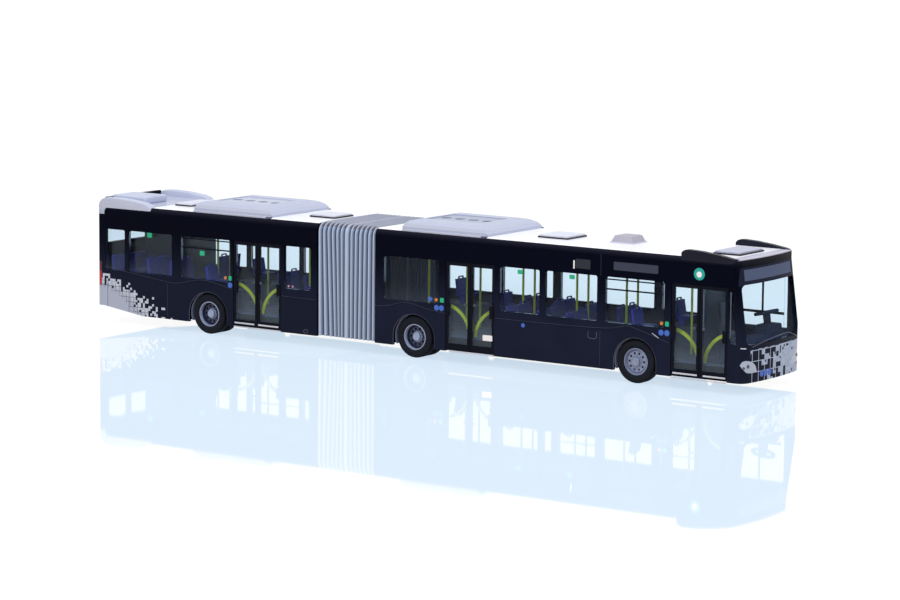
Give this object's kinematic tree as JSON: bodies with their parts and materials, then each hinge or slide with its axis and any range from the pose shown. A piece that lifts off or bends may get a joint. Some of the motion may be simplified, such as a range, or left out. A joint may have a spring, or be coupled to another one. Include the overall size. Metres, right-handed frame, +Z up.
{
  "type": "articulated bus scale model",
  "caption": "Scale model of an articulated low-floor city bus: two hollow cars with clear windows, joined by folded bellows, on rolling wheels.",
  "frame": {"origin": "centre of the model's footprint, on the surface its tyres stand on", "axes": "+X forward, -Y towards the door side, +Z up"},
  "size_m": [0.2084, 0.0294, 0.0361],
  "materials": {
    "body_paint": "gloss black moulded plastic with a blue cast",
    "clear_plastic": "clear moulded polystyrene",
    "roof_white": "white moulded plastic with black cant rails",
    "door_frame": "black moulded door frames",
    "bellows_rubber": "soft grey folded rubber",
    "interior_dark": "slate moulded plastic",
    "seat_blue": "blue moulded plastic",
    "rail_yellow": "yellow-green printed plastic",
    "roof_grey": "light grey moulded plastic",
    "lamp_red": "clear red plastic",
    "axle_steel": "turned steel pin",
    "rim_silver": "silver moulded plastic",
    "tyre_rubber": "black rubber"
  },
  "bodies": {
    "front_car": {"front_wall_right": "body_paint", "front_wall_left": "body_paint", "front_glazing_right": "clear_plastic", "front_glazing_left": "clear_plastic", "front_door": "door_frame", "middle_door": "door_frame", "front_mask": "body_paint", "windscreen": "clear_plastic", "quarter_window_right": "clear_plastic", "quarter_window_left": "clear_plastic", "headlamps": "clear_plastic", "front_roof": "roof_white", "bellows": "bellows_rubber", "front_chassis": "interior_dark", "front_floor": "interior_dark", "front_seats": "seat_blue", "front_handrails": "rail_yellow", "front_door_rails": "rail_yellow", "dashboard": "interior_dark", "driver_seat": "seat_blue", "cab_partition": "interior_dark", "front_air_conditioner": "roof_grey", "front_roof_hatches": "roof_grey", "roof_vent": "roof_grey", "roof_fairings": "body_paint"},
    "rear_car": {"rear_wall_right": "body_paint", "rear_wall_left": "body_paint", "rear_glazing_right": "clear_plastic", "rear_glazing_left": "clear_plastic", "rear_door": "door_frame", "rear_tail": "body_paint", "tail_lamps": "lamp_red", "rear_window": "clear_plastic", "rear_roof": "roof_white", "rear_chassis": "interior_dark", "rear_floor": "interior_dark", "rear_podium": "interior_dark", "engine_tower": "interior_dark", "rear_seats": "seat_blue", "back_bench": "seat_blue", "rear_handrails": "rail_yellow", "rear_door_rails": "rail_yellow", "rear_air_conditioner": "roof_grey", "rear_roof_hatches": "roof_grey", "tail_shroud": "roof_grey"},
    "front_wheels": {"front_axle": "axle_steel", "front_rims": "rim_silver", "front_tyres": "tyre_rubber"},
    "middle_wheels": {"middle_axle": "axle_steel", "middle_rims": "rim_silver", "middle_tyres": "tyre_rubber"},
    "rear_wheels": {"rear_axle": "axle_steel", "rear_rims": "rim_silver", "rear_tyres": "tyre_rubber"}
  },
  "joints": [
    {"name": "articulation", "type": "hinge", "parent": "front_car", "child": "rear_car", "pos_m": [-0.018, 0, 0.0045], "axis": [0, 0, 1], "range_deg": [-40, 40], "deforming": ["bellows"]},
    {"name": "front_axle_spin", "type": "hinge", "parent": "front_car", "child": "front_wheels", "pos_m": [0.07193, 0, 0.0055], "axis": [0, 1, 0], "continuous": true},
    {"name": "middle_axle_spin", "type": "hinge", "parent": "front_car", "child": "middle_wheels", "pos_m": [0.00411, 0, 0.0055], "axis": [0, 1, 0], "continuous": true},
    {"name": "rear_axle_spin", "type": "hinge", "parent": "rear_car", "child": "rear_wheels", "pos_m": [-0.06474, 0, 0.0055], "axis": [0, 1, 0], "continuous": true}
  ]
}
